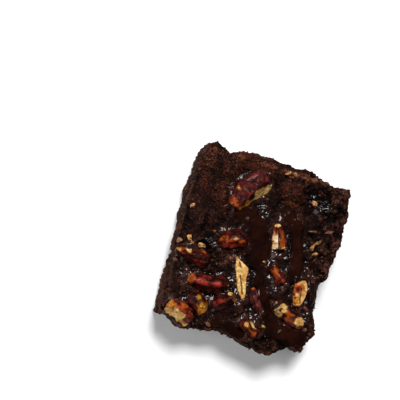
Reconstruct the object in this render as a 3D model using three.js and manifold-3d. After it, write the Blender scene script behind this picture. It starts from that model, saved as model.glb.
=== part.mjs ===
// A hand-cut square of chocolate brownie with chopped pecans pressed into its glazed top.
//
// The cake is one solid: a flat base, rough cut walls and an uneven top with a raised back
// crust, thick drizzles of fudge, chocolate-coated lumps and small nut crumbs fused to it.
// Each large pecan piece is a solid of its own, sitting in a pocket of the cake.
// Millimetres, +Z up, origin at the middle of the base. +X runs right and +Y runs back.

import * as THREE from "three";
import { mergeVertices } from "three/addons/utils/BufferGeometryUtils.js";
import Module from "manifold-3d";

// Driving sizes of the cake
const HALF_X = 31.5;
const HALF_Y = 36;
const TOP_Z = 18;
const RIM_DROP = 1.7;
const RIM_PULL = 0.3;
const FOOT_PULL = 1.5;
const FRONT_LEFT_LEAN = 0.8;
const CELLS_X = 27;
const CELLS_Y = 31;
const CELLS_Z = 6;

// Crag relief: the size of the crags and how far they stand out, coarse and fine
const CRAG_COARSE = 7.5;
const CRAG_COARSE_DEPTH = 0.9;
const CRAG_FINE = 3.4;
const CRAG_FINE_DEPTH = 0.55;

const NUT_GAP = 0.5;
const NUT_SIDES = 14;
const NUT_RINGS = 10;
const NUT_LOBES = 4;
const NUT_LOBE_DEPTH = 0.09;
const NUT_KNOB_SIZE = 3.2;
const NUT_KNOB_DEPTH = 0.16;
const NUT_BULGE_SPAN = 0.3;

// The cut outline at the top rim, anticlockwise from the front left corner.
const OUTLINE = [
  [-30.8, -28.4],
  [-26.6, -33.8],
  [-21.5, -37.0],
  [-13.0, -36.2],
  [-6.0, -34.3],
  [3.0, -35.5],
  [9.0, -37.5],
  [15.0, -37.9],
  [20.0, -36.3],
  [24.4, -32.8],
  [29.6, -30.8],
  [32.6, -26.0],
  [30.2, -18.3],
  [30.2, -13.5],
  [29.3, -5.6],
  [31.4, -2.4],
  [32.2, 4.0],
  [33.0, 12.0],
  [32.2, 17.0],
  [33.3, 24.0],
  [32.0, 32.2],
  [24.0, 34.2],
  [14.0, 37.4],
  [3.7, 37.1],
  [-10.2, 37.0],
  [-16.0, 36.2],
  [-21.9, 34.8],
  [-27.0, 37.2],
  [-30.4, 34.9],
  [-32.4, 27.4],
  [-32.9, 6.4],
  [-31.2, -8.0],
  [-30.4, -19.9],
];

// Swells and hollows of the top: [x, y, radius along x, radius along y, height].
const SWELLS = [
  [-19, 21, 12, 12, 0.9],
  [-7.6, 33.4, 5, 1.8, -0.9],
  [5.2, 20.2, 3.2, 2.2, -1.5],
  [16, 20.6, 3.4, 2.6, -1.3],
  [27, 14, 5, 9, 0.6],
  [-22, -2, 9, 4, -0.5],
  [-28, -14, 4, 7, -0.8],
  [-13, -13.5, 8, 2.2, -0.9],
  [-2, -29, 5, 2.5, -0.7],
  [14, -24, 4, 5, -0.8],
  [27, -1, 3, 5, -0.6],
];

// The crust that stands up along the back edge, and the lumps coated in chocolate.
const CREST = { from: -12, to: 27, y: 33.6, fall: -0.055, width: 1.9, height: 1.5 };
const LUMPS = [
  [7.6, 25.4, 4.8, 4.3, 2.4],
  [10.8, 0.6, 3.6, 2.4, 1.7],
  [-2.2, -24.2, 3.1, 2.5, 1.7],
  [11.6, -14.2, 3.3, 2.3, 1.6],
  [0.2, -20.2, 1.9, 1.7, 1.5],
  [26.3, 25.6, 4.2, 3.6, 1.0],
  [-16.5, 31.5, 3.6, 2.6, 0.8],
];

// Thick drizzles of fudge on the top, each a line of points with a half width.
const DRIZZLE_DEPTH = 0.9;
const DRIZZLES = [
  { half: 4.6, line: [[-10, 13], [-3, 9.5], [1.5, 3.5], [1.5, -4]] },
  { half: 2.8, line: [[1.5, -4], [4, -12], [9.5, -20.5], [14, -27]] },
  { half: 3.4, line: [[8, 17.5], [13, 12], [15.5, 5], [17, -5]] },
  { half: 3.9, line: [[15, -28.5], [21.5, -28], [26.5, -28.5]] },
  { half: 2.6, line: [[-9, -31.5], [-3, -32], [2, -33.5]] },
];

// The large pecan pieces. size is length, width and height; yaw, pitch and roll are degrees;
// lift is the height of the middle above the cake. taper widens the far end and bow bends the
// piece sideways; a low blunt squares it off. A bulge is a place along the piece, and how much it
// widens on its left side there. Each cut is a broken face: its direction in the piece's own frame,
// and its distance from the middle as a share of the half size there.
const PECANS = [
  {
    name: "pecan_large_back", at: [-10.6, 21.9], size: [19.2, 10.4, 7.6],
    yaw: 51, pitch: 3, roll: 8, lift: 1.5,
    taper: 0.2, bow: 0.3, blunt: 0.5, skin: "ruby",
    cuts: [[0, -0.72, 0.69, 0.74], [0.96, -0.1, 0.26, 0.92], [-0.3, 0.3, 0.9, 0.74]],
  },
  {
    name: "pecan_knuckle", at: [-11.5, 1.3], size: [12.4, 7.4, 6.4],
    yaw: 21, pitch: -4, roll: -6, lift: 1.4,
    taper: 0.1, bow: 0.4, blunt: 0.55, skin: "ruby",
    cuts: [[-0.72, 0.3, 0.62, 0.66], [0.7, 0.55, 0.45, 0.84]],
  },
  {
    name: "pecan_upright", at: [6.3, 7.4], size: [11.4, 5.4, 6.2],
    yaw: -69, pitch: 8, roll: 10, lift: 1.9,
    taper: 0.42, bow: 0.2, blunt: 0.55, skin: "russet",
    cuts: [[0, -0.72, 0.69, 0.72], [0.96, 0, 0.28, 0.8]],
  },
  {
    name: "pecan_left_ridge", at: [-25.2, -9.0], size: [14.6, 6.8, 5.8],
    yaw: -9, pitch: 5, roll: -12, lift: 1.1,
    taper: 0.1, bow: 0.5, blunt: 0.62, skin: "ruby",
    cuts: [[-0.25, 0.62, 0.74, 0.42]],
  },
  {
    name: "pecan_long_left", at: [-16.6, -17.2], size: [17.8, 6.4, 6.6],
    yaw: 7, pitch: 0, roll: 4, lift: 1.6,
    taper: 0.12, bow: -0.5, blunt: 0.62, skin: "ruby",
    cuts: [[-0.95, 0, 0.31, 0.86]],
  },
  {
    name: "pecan_corner", at: [-24.3, -32.2], size: [11.2, 9.2, 6.8],
    yaw: -25, pitch: -3, roll: 6, lift: 1.3,
    taper: 0.06, bow: 0.3, blunt: 0.55, skin: "russet",
    cuts: [[0.08, -0.74, 0.67, 0.32]],
  },
  {
    name: "pecan_corner_inner", at: [-18.0, -26.3], size: [9.4, 6.2, 6.0],
    yaw: -43, pitch: 2, roll: -5, lift: 1.3,
    taper: 0.1, bow: 0.3, blunt: 0.62, skin: "ruby",
    cuts: [[0.4, 0.2, 0.89, 0.62]],
  },
  {
    name: "pecan_short_red", at: [-7.9, -22.4], size: [10.6, 5.6, 6.0],
    yaw: 35, pitch: -6, roll: 0, lift: 1.7,
    taper: -0.12, bow: 0.2, blunt: 0.6, skin: "ruby",
    cuts: [[0.9, 0, 0.44, 0.7]],
  },
  {
    name: "pecan_pale_sliver", at: [-4.3, -11.8], size: [18.8, 3.8, 4.8],
    yaw: -68, pitch: 0, roll: 3, lift: 1.5,
    taper: -0.05, bow: 0.2, blunt: 0.76, bulge: [-0.38, 0.8], skin: "russet",
    cuts: [[0, 0.12, 0.99, 0.3], [0.825, 0.565, 0, 0.9], [-0.62, 0.785, 0, 0.76]],
  },
  {
    name: "pecan_brown_stick", at: [4.7, -19.1], size: [10.8, 3.8, 4.6],
    yaw: -53, pitch: 3, roll: 0, lift: 1.5,
    taper: 0.1, bow: -0.3, blunt: 0.7, skin: "plum",
    cuts: [[0.93, 0, 0.37, 0.8]],
  },
  {
    name: "pecan_amber_stick", at: [10.3, -7.1], size: [9.4, 4.2, 4.4],
    yaw: -40, pitch: 0, roll: 0, lift: 1.4,
    taper: 0.1, bow: 0.2, blunt: 0.66, skin: "russet",
    cuts: [[0.9, -0.2, 0.39, 0.85]],
  },
  {
    name: "pecan_pale_leaf", at: [20.7, -11.1], size: [11.2, 5.2, 5.2],
    yaw: -85, pitch: -3, roll: 5, lift: 1.4,
    taper: -0.2, bow: 0.2, blunt: 0.55, skin: "amber",
    cuts: [[-0.1, 0.2, 0.97, 0.3], [-0.888, -0.46, 0, 0.78]],
  },
  {
    name: "pecan_fork", at: [19.5, -20.9], size: [13.4, 6.6, 6.0],
    yaw: -19, pitch: 0, roll: -6, lift: 1.3,
    taper: -0.05, bow: 0.4, blunt: 0.55, skin: "plum",
    cuts: [[-0.12, -0.5, 0.86, 0.2], [-0.88, 0.1, 0.46, 0.72]],
  },
  {
    name: "pecan_front_bit", at: [5.2, -29.6], size: [8.8, 6.4, 5.2],
    yaw: -22, pitch: 0, roll: 0, lift: 1.2,
    taper: 0.1, bow: 0.3, blunt: 0.6, skin: "russet",
    cuts: [[0.1, 0.62, 0.775, 0.25]],
  },
  {
    name: "pecan_dark_sliver", at: [26.0, -9.0], size: [10.2, 2.8, 4.0],
    yaw: -78, pitch: 0, roll: 0, lift: 1.1,
    taper: 0.05, bow: 0.4, blunt: 0.62, skin: "plum",
    cuts: [[0, 0.5, 0.87, 0.7]],
  },
];

const SKINS = {
  ruby: 0x6a2018,
  russet: 0x7c3418,
  amber: 0x97501f,
  plum: 0x47201c,
};

// Small nut crumbs fused to the cake: [x, y, length, width, height, yaw].
const CRUMBS = [
  [-31.6, -4.6, 3.0, 2.3, 2.1, 20],
  [-28.3, -2.8, 2.5, 2.8, 2.4, 0],
  [-22.9, -4.5, 4.2, 2.3, 2.2, -10],
  [-26.6, -4.4, 2.2, 1.8, 1.8, -30],
  [-31.0, -12.4, 2.2, 1.8, 1.7, 50],
  [-17.2, -22.8, 2.8, 2.4, 2.4, 80],
  [-31.0, 9.6, 2.6, 1.5, 1.8, 40],
  [-19.4, 2.6, 1.8, 1.6, 1.6, 0],
  [27.4, -24.6, 2.2, 2.0, 2.0, 0],
  [22.6, 10.2, 5.2, 1.7, 2.1, 40],
  [21.2, 7.8, 1.7, 3.6, 2.1, -8],
  [23.0, 5.8, 3.2, 1.8, 2.0, 36],
  [17.4, 25.1, 4.2, 2.3, 2.4, -38],
  [3.0, 33.4, 3.6, 1.7, 2.2, 24],
  [5.8, 33.9, 2.6, 1.5, 1.7, -20],
  [15.0, 34.2, 1.8, 1.5, 1.5, 0],
  [25.6, -16.4, 1.9, 2.2, 1.8, 15],
  [3.4, -3.2, 1.9, 1.1, 1.3, 0],
  [-9.7, -5.6, 2.9, 2.4, 2.0, 60],
  [10.6, -27.8, 2.2, 1.6, 1.6, 30],
  [-11.0, -33.0, 2.4, 1.7, 1.8, -40],
  [26.2, 15.8, 4.2, 1.3, 1.5, 14],
  [20.0, 14.2, 4.4, 1.2, 1.5, 18],
  [8.2, -4.0, 1.5, 1.4, 1.5, 0],
  [13.2, -17.6, 2.6, 1.3, 1.5, -60],
];

// Chocolate crumbs loosened by the knife, spread along the rim by a seeded rule.
const RIM_CRUMBS = 18;
const RIM_CRUMB_SIZE = 2.2;
const RIM_SEED = 11;

const wasm = await Module();
wasm.setup();

function clamp01(t) {
  return Math.min(1, Math.max(0, t));
}

function smooth(t) {
  const c = clamp01(t);
  return c * c * (3 - 2 * c);
}

function lattice(i, j, k) {
  const s = Math.sin(i * 127.1 + j * 311.7 + k * 74.7) * 43758.5453;
  return s - Math.floor(s);
}

// Value noise in three dimensions, from 0 to 1, smooth between the lattice points.
function noise(x, y, z) {
  const i = Math.floor(x);
  const j = Math.floor(y);
  const k = Math.floor(z);
  const fx = smooth(x - i);
  const fy = smooth(y - j);
  const fz = smooth(z - k);
  const mix = THREE.MathUtils.lerp;
  const low = mix(
    mix(lattice(i, j, k), lattice(i + 1, j, k), fx),
    mix(lattice(i, j + 1, k), lattice(i + 1, j + 1, k), fx),
    fy,
  );
  const high = mix(
    mix(lattice(i, j, k + 1), lattice(i + 1, j, k + 1), fx),
    mix(lattice(i, j + 1, k + 1), lattice(i + 1, j + 1, k + 1), fx),
    fy,
  );
  return mix(low, high, fz);
}

// How far the surface stands out as crags at a point, from about -1 to 1 times the depths.
function crags(x, y, z) {
  const coarse = noise(x / CRAG_COARSE, y / CRAG_COARSE, z / CRAG_COARSE) * 2 - 1;
  const fine = noise(x / CRAG_FINE + 31, y / CRAG_FINE, z / CRAG_FINE) * 2 - 1;
  return coarse * CRAG_COARSE_DEPTH + fine * CRAG_FINE_DEPTH;
}

// The outline as a stretch of the nominal rectangle, by bearing on its unit square.
const BEARINGS = OUTLINE.map(([x, y]) => ({
  bearing: Math.atan2(y / HALF_Y, x / HALF_X),
  stretch: Math.max(Math.abs(x) / HALF_X, Math.abs(y) / HALF_Y),
})).sort((a, b) => a.bearing - b.bearing);

function outlineStretch(u, v) {
  const bearing = Math.atan2(v, u);
  const count = BEARINGS.length;
  const after = BEARINGS.findIndex((b) => b.bearing > bearing);
  const next = BEARINGS[after < 0 ? 0 : after];
  const last = BEARINGS[((after < 0 ? 0 : after) - 1 + count) % count];
  const turn = 2 * Math.PI;
  const gap = (next.bearing - last.bearing + turn) % turn;
  const along = ((bearing - last.bearing + turn) % turn) / gap;
  return THREE.MathUtils.lerp(last.stretch, next.stretch, along);
}

function distanceToLine(x, y, line) {
  let nearest = Infinity;
  for (let i = 1; i < line.length; i += 1) {
    const [ax, ay] = line[i - 1];
    const [bx, by] = line[i];
    const span = (bx - ax) ** 2 + (by - ay) ** 2;
    const t = clamp01(((x - ax) * (bx - ax) + (y - ay) * (by - ay)) / span);
    nearest = Math.min(nearest, Math.hypot(x - ax - t * (bx - ax), y - ay - t * (by - ay)));
  }
  return nearest;
}

// 1 on a drizzle of fudge and 0 clear of it, with a wavy margin.
function drizzleShare(x, y) {
  const wave = (noise(x / 3, y / 3, 5) - 0.5) * 2.4;
  return Math.max(
    ...DRIZZLES.map(({ half, line }) => smooth((half + wave - distanceToLine(x, y, line)) / 1.6)),
  );
}

function lumpHeight(x, y, [cx, cy, rx, ry, height]) {
  const reach = ((x - cx) / rx) ** 2 + ((y - cy) / ry) ** 2;
  return height * Math.exp(-(reach ** 1.7));
}

// The height of the top at a point, without the rounding of the rim.
function topHeight(x, y) {
  const swell = SWELLS.reduce(
    (sum, [cx, cy, rx, ry, height]) =>
      sum + height * Math.exp(-(((x - cx) / rx) ** 2) - ((y - cy) / ry) ** 2),
    0,
  );
  const lumps = LUMPS.reduce((sum, lump) => sum + lumpHeight(x, y, lump), 0);
  const crestY = CREST.y + CREST.fall * x;
  const crestShare = smooth((x - CREST.from) / 5) * smooth((CREST.to - x) / 5);
  const crest = CREST.height * crestShare * Math.exp(-(((y - crestY) / CREST.width) ** 2));
  const drizzle = drizzleShare(x, y);
  const rough = crags(x, y, 40) * (1 - 0.75 * drizzle);
  return TOP_Z + swell + lumps + crest + rough + DRIZZLE_DEPTH * (drizzle - 0.4);
}

// A closed mesh whose shared vertices are merged, as a solid.
function solidOf(geometry) {
  const bare = geometry.clone();
  bare.deleteAttribute("normal");
  bare.deleteAttribute("uv");
  const merged = mergeVertices(bare, 1e-4);
  return new wasm.Manifold(
    new wasm.Mesh({
      numProp: 3,
      vertProperties: merged.attributes.position.array,
      triVerts: new Uint32Array(merged.index.array),
    }),
  );
}

function geometryOf(solid) {
  const { numProp, vertProperties, triVerts } = solid.getMesh();
  const positions = new Float32Array((vertProperties.length / numProp) * 3);
  for (let i = 0; i < positions.length / 3; i += 1) {
    positions.set(vertProperties.subarray(i * numProp, i * numProp + 3), i * 3);
  }
  const geometry = new THREE.BufferGeometry();
  geometry.setAttribute("position", new THREE.BufferAttribute(positions, 3));
  geometry.setIndex(new THREE.BufferAttribute(triVerts, 1));
  geometry.computeVertexNormals();
  return geometry;
}

// Moves every vertex of a geometry by a rule that changes the vector it is given.
function warp(geometry, rule) {
  const positions = geometry.getAttribute("position");
  const point = new THREE.Vector3();
  for (let i = 0; i < positions.count; i += 1) {
    point.fromBufferAttribute(positions, i);
    rule(point);
    positions.setXYZ(i, point.x, point.y, point.z);
  }
  return geometry;
}

// The cake block, from a unit box whose sides are drawn out to the outline and roughened.
function cakeBlock() {
  const box = new THREE.BoxGeometry(2, 2, 1, CELLS_X, CELLS_Y, CELLS_Z);
  return warp(box, (p) => {
    const u = p.x;
    const v = p.y;
    const w = p.z + 0.5;
    const edge = Math.max(Math.abs(u), Math.abs(v));
    const stretch = 1 + (outlineStretch(u, v) - 1) * edge ** 2;
    let x = u * HALF_X * stretch;
    let y = v * HALF_Y * stretch;
    const rim = edge ** 14;
    const atTop = w ** 6;
    const atFoot = (1 - w) ** 6;
    const frontLeft = smooth(-u * 2 - 1) * smooth(0.6 - v);
    const out = Math.hypot(x, y) || 1;
    const push = rim * (crags(x, y, w * TOP_Z) * (w > 0 ? 1 : 0.4) - RIM_PULL * atTop
      - FOOT_PULL * atFoot + FRONT_LEFT_LEAN * frontLeft * (1 - w));
    x += (x / out) * push;
    y += (y / out) * push;
    p.set(x, y, w * (topHeight(x, y) - RIM_DROP * rim));
  });
}

// A pecan piece about its own middle: a blunt, knobbly, lobed oval with its broken faces
// flattened. grow makes it larger all round, for the pocket that it sits in.
function pecanBody({ at, size, taper, bow, blunt, bulge = [0, 0], cuts }, grow) {
  const half = size.map((s) => s / 2 + grow);
  const sphere = new THREE.SphereGeometry(1, NUT_SIDES, NUT_RINGS);
  sphere.rotateZ(Math.PI / 2);
  return warp(sphere, (p) => {
    const ring = Math.hypot(p.y, p.z);
    const square = ring > 1e-6 ? ring ** blunt / ring : 0;
    const around = Math.atan2(p.z, p.y);
    const lobe = NUT_LOBE_DEPTH * Math.cos(NUT_LOBES * around) * smooth(p.z * 2 + 0.5);
    const spot = [p.x * size[0], p.y * size[1], p.z * size[2]].map((s) => s / 2 / NUT_KNOB_SIZE);
    const knob = NUT_KNOB_DEPTH * (noise(spot[0] + at[0], spot[1] + at[1], spot[2]) * 2 - 1);
    const wide = 1 + bulge[1] * smooth(p.y) * Math.exp(-(((p.x - bulge[0]) / NUT_BULGE_SPAN) ** 2));
    const swell = square * (1 + lobe + knob) * (1 + taper * p.x);
    const bend = bow * (1 - 2 * p.x * p.x);
    p.set(p.x * half[0], p.y * wide * swell * half[1] + bend, p.z * swell * half[2]);
    for (const [nx, ny, nz, share] of cuts) {
      const reach = Math.hypot(nx * size[0], ny * size[1], nz * size[2]) / 2;
      const past = p.x * nx + p.y * ny + p.z * nz - share * reach - grow;
      if (past > 0) {
        p.x -= nx * past;
        p.y -= ny * past;
        p.z -= nz * past;
      }
    }
  });
}

function placePecan(object, { at, yaw, pitch, roll, lift }) {
  const turn = THREE.MathUtils.degToRad;
  object.rotation.set(turn(roll), turn(pitch), turn(yaw), "ZYX");
  object.position.set(at[0], at[1], topHeight(at[0], at[1]) + lift);
  object.updateMatrix();
}

function pocketOf(pecan) {
  const holder = new THREE.Object3D();
  placePecan(holder, pecan);
  return solidOf(pecanBody(pecan, NUT_GAP).applyMatrix4(holder.matrix));
}

// A knobbly crumb of the given size, with its middle a little above the cake.
function crumbAt(x, y, size, yaw, rise) {
  const crumb = new THREE.IcosahedronGeometry(1, 0);
  warp(crumb, (p) => {
    p.multiplyScalar(0.85 + 0.3 * lattice(Math.round(p.x * 9), Math.round(p.y * 9), x));
    p.set((p.x * size[0]) / 2, (p.y * size[1]) / 2, (p.z * size[2]) / 2);
  });
  crumb.rotateZ(THREE.MathUtils.degToRad(yaw));
  crumb.translate(x, y, topHeight(x, y) + rise);
  return solidOf(crumb);
}

// Crumbs of cake on the rim, at bearings and sizes drawn from the seeded lattice.
function rimCrumbs() {
  return Array.from({ length: RIM_CRUMBS }, (_, i) => {
    const bearing = ((i + 0.8 * lattice(i, RIM_SEED, 1)) / RIM_CRUMBS) * 2 * Math.PI;
    const u = Math.cos(bearing);
    const v = Math.sin(bearing);
    const toSquare = 0.955 / Math.max(Math.abs(u), Math.abs(v));
    const reach = toSquare * outlineStretch(u, v);
    const size = RIM_CRUMB_SIZE * (0.7 + 0.8 * lattice(i, RIM_SEED, 2));
    const sizes = [size, size * 0.8, size * 0.75];
    return crumbAt(u * HALF_X * reach, v * HALF_Y * reach, sizes, i * 47, -0.9);
  });
}

function cakeGeometry() {
  const nutCrumbs = CRUMBS.map(([x, y, length, width, height, yaw]) =>
    crumbAt(x, y, [length, width, height], yaw, 0.2),
  );
  const joined = wasm.Manifold.union([solidOf(cakeBlock()), ...nutCrumbs, ...rimCrumbs()]);
  const pockets = wasm.Manifold.union(PECANS.map(pocketOf));
  const pieces = joined.subtract(pockets).decompose();
  const largest = pieces.reduce((a, b) => (a.volume() > b.volume() ? a : b));
  return geometryOf(largest);
}

function buildBrownie() {
  const brownie = new THREE.Group();
  const cake = new THREE.Mesh(
    cakeGeometry(),
    new THREE.MeshStandardMaterial({ color: 0x2e1710, roughness: 0.72, metalness: 0 }),
  );
  cake.name = "cake";
  brownie.add(cake);
  for (const pecan of PECANS) {
    const material = new THREE.MeshStandardMaterial({
      color: SKINS[pecan.skin],
      roughness: 0.38,
      metalness: 0,
    });
    const mesh = new THREE.Mesh(pecanBody(pecan, 0), material);
    mesh.name = pecan.name;
    placePecan(mesh, pecan);
    brownie.add(mesh);
  }
  return brownie;
}

export default buildBrownie();
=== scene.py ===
"""The looks of a hand-cut chocolate brownie with chopped pecans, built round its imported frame.

The shape functions work in millimetres, with +Z up and the origin at the middle of the base.
Every mesh is turned into metres where it is made into an object.
"""

import math

import bpy
import numpy as np
from mathutils import Matrix, Vector


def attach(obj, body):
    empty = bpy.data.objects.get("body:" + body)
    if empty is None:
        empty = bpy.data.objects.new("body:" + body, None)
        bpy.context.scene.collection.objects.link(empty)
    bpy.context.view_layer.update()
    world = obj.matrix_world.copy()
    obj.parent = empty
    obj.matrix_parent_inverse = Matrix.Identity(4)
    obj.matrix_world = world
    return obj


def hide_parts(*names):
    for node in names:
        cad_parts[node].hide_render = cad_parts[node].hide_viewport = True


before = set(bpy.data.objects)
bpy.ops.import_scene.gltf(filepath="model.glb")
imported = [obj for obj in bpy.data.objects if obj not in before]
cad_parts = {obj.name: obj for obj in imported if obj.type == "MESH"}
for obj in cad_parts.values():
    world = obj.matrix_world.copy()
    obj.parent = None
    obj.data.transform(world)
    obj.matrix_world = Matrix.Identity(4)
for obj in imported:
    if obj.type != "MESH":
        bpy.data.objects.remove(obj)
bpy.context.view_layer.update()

MM = 0.001
SEED = 29

# The camera, at the photo's viewing angle: degrees and millimetres
CAMERA_AZIMUTH = -64.0
CAMERA_ELEVATION = 77.5
CAMERA_ROLL = 81.0
CAMERA_TARGET = (-28.7, 12.5, 19.0)
CAMERA_DISTANCE = 370.0
CAMERA_LENS = 85.0
CAMERA_SENSOR = 36.0

# The studio: two square lights with direction, distance and size in metres and power in watts,
# the sky's strength, and the floor's half width and level in millimetres
KEY_LIGHT = {"direction": (-0.12, 0.54, 0.9), "distance": 0.6, "size": 0.22, "power": 5.3}
FILL_LIGHT = {"direction": (-0.9, -0.4, 0.7), "distance": 0.7, "size": 0.5, "power": 2.8}
SKY_STRENGTH = 0.075
FLOOR_HALF = 900
FLOOR_LEVEL = -0.05
FLOOR_DARK = (0.84, 0.84, 0.84)
FLOOR_LIGHT = (0.88, 0.88, 0.88)

# Driving sizes of the cake. The powers say how sharply the rim begins at the edge of the top, and
# how sharply the wall draws in at its top and foot. On the base the crags keep only a share.
HALF_X = 31.5
HALF_Y = 36.0
TOP_Z = 18.0
RIM_DROP = 1.7
RIM_PULL = 0.3
FOOT_PULL = 1.5
FRONT_LEFT_LEAN = 0.8
RIM_POWER = 14
PULL_POWER = 6
BASE_CRAGS = 0.4
CRAG_COARSE = 7.5
CRAG_COARSE_DEPTH = 0.9
CRAG_FINE = 3.4
CRAG_FINE_DEPTH = 0.55

# Fineness of the cake's mesh
CELLS_X = 190
CELLS_Y = 218
WALL_LEVELS = 42
BASE_RINGS = 4

# The cake's relief: how large its grains, clods, pits, streaks and fudge ripples are, how far the
# glaze is drawn up round each nut, and the height above the base where the relief is full.
# Four kinds of relief have a depth on plain crumb, and what rough, dry and wet places add to it.
COARSE_GRAIN = 2.1
FINE_GRAIN = 0.95
CLOD_SIZE = 4.2
PIT_SIZE = 2.6
STREAK_SIZE = 1.3
STREAK_DEPTH = 0.16
RIPPLE_SIZE = 2.4
RIPPLE_DEPTH = 0.25
COLLAR_WIDTH = 1.3
COLLAR_HEIGHT = 0.8
BASE_HOLD = 1.2
RELIEF_DEPTHS = {
    "lumps": (0.55, 0.5, -0.25, -0.1),
    "grit": (0.36, 0, 0, 0.06),
    "clods": (0.22, 0.3, 0, 0),
    "pits": (-0.35, -0.75, 0.2, 0),
}

# Loose crumbs of cake: how many, the least size, how much larger the largest are, the lowest on
# the walls and how far they keep from the nuts
CRUMB_COUNT = 2200
CRUMB_LEAST = 0.4
CRUMB_SPREAD = 1.1
CRUMB_LOWEST = 3
CRUMB_CLEARANCE = 0.2

# The corners and bends of the cake's outline, anticlockwise from the front left
OUTLINE = [
    (-30.8, -28.4), (-26.6, -33.8), (-21.5, -37.0), (-13.0, -36.2), (-6.0, -34.3), (3.0, -35.5),
    (9.0, -37.5), (15.0, -37.9), (20.0, -36.3), (24.4, -32.8), (29.6, -30.8), (32.6, -26.0),
    (30.2, -18.3), (30.2, -13.5), (29.3, -5.6), (31.4, -2.4), (32.2, 4.0), (33.0, 12.0),
    (32.2, 17.0), (33.3, 24.0), (32.0, 32.2), (24.0, 34.2), (14.0, 37.4), (3.7, 37.1),
    (-10.2, 37.0), (-16.0, 36.2), (-21.9, 34.8), (-27.0, 37.2), (-30.4, 34.9), (-32.4, 27.4),
    (-32.9, 6.4), (-31.2, -8.0), (-30.4, -19.9),
]

# Swells and hollows of the top: x, y, radius along x, radius along y, height
SWELLS = [
    (-19, 21, 12, 12, 0.9), (-7.6, 33.4, 5, 1.8, -0.9), (5.2, 20.2, 3.2, 2.2, -1.5),
    (16, 20.6, 3.4, 2.6, -1.3), (27, 14, 5, 9, 0.6), (-22, -2, 9, 4, -0.5),
    (-28, -14, 4, 7, -0.8), (-13, -13.5, 8, 2.2, -0.9), (-2, -29, 5, 2.5, -0.7),
    (14, -24, 4, 5, -0.8), (27, -1, 3, 5, -0.6),
]

# The crust along the back edge, from one x to another, and the lumps coated in chocolate, which
# are written like the swells and rise more steeply
CREST = {
    "from": -12, "to": 27, "fade": 5, "y": 33.6, "fall": -0.055, "width": 1.9, "height": 1.5,
}
LUMP_POWER = 1.7
LUMPS = [
    (7.6, 25.4, 4.8, 4.3, 2.4), (10.8, 0.6, 3.6, 2.4, 1.7), (-2.2, -24.2, 3.1, 2.5, 1.7),
    (11.6, -14.2, 3.3, 2.3, 1.6), (0.2, -20.2, 1.9, 1.7, 1.5), (26.3, 25.6, 4.2, 3.6, 1.0),
    (-16.5, 31.5, 3.6, 2.6, 0.8),
]

# Thick drizzles of fudge, each a half width and a line of points. The top clear of them is
# lowered by a share of their depth. Their margins wave, and they calm most of the relief.
DRIZZLE_DEPTH = 0.9
DRIZZLE_SINK = 0.4
DRIZZLE_MARGIN = 1.6
DRIZZLE_WAVE = 2.4
DRIZZLE_WAVE_SIZE = 3
DRIZZLE_CALM = 0.75
DRIZZLES = [
    (4.6, [(-10, 13), (-3, 9.5), (1.5, 3.5), (1.5, -4)]),
    (2.8, [(1.5, -4), (4, -12), (9.5, -20.5), (14, -27)]),
    (3.4, [(8, 17.5), (13, 12), (15.5, 5), (17, -5)]),
    (3.9, [(15, -28.5), (21.5, -28), (26.5, -28.5)]),
    (2.6, [(-9, -31.5), (-3, -32), (2, -33.5)]),
]

# Where the top is dry, crusted, wet with glaze or rough: x, y, radius along x, radius along y.
# The margins of these zones wave at two sizes, each with its height and its slice of the noise.
# The wet ones are a little less wet than the glaze round the nuts.
WET_STRENGTH = 0.75
ZONE_WAVES = [(4, 0.35, 9.0), (1.6, 0.2, 3.0)]
ZONE_MARGIN = 0.3
DRY_ZONES = [(-25, 27, 9, 11), (-17, 17, 8, 7), (-10, 34, 16, 4), (7.6, 25.8, 5.5, 5)]
CRUST_ZONES = [
    (13, 34.4, 7.5, 1.5), (3.2, 33.4, 4.4, 1.5), (-6, 34.4, 5, 1.2), (7.6, 22.3, 4.2, 0.9),
    (30.6, 30, 1.4, 3), (-29, 31, 2.2, 5), (-22, 34, 6, 1.6),
]
WET_ZONES = [
    (-12, -17, 17, 7), (-12, -27, 15, 6), (5, -10, 10, 9), (20, -16, 9, 9), (1, 8, 12, 9),
    (0, 19, 8, 5), (14, 1, 9, 7), (19, 25, 6, 4), (2, -26, 9, 5), (-15, 0, 7, 5),
    (10.8, 0.6, 4, 3),
]
ROUGH_ZONES = [
    (27, 12, 8, 18), (27, -27, 7, 9), (20, 31, 14, 6), (5, -35, 26, 4), (-20, -6, 12, 5),
]

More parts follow.
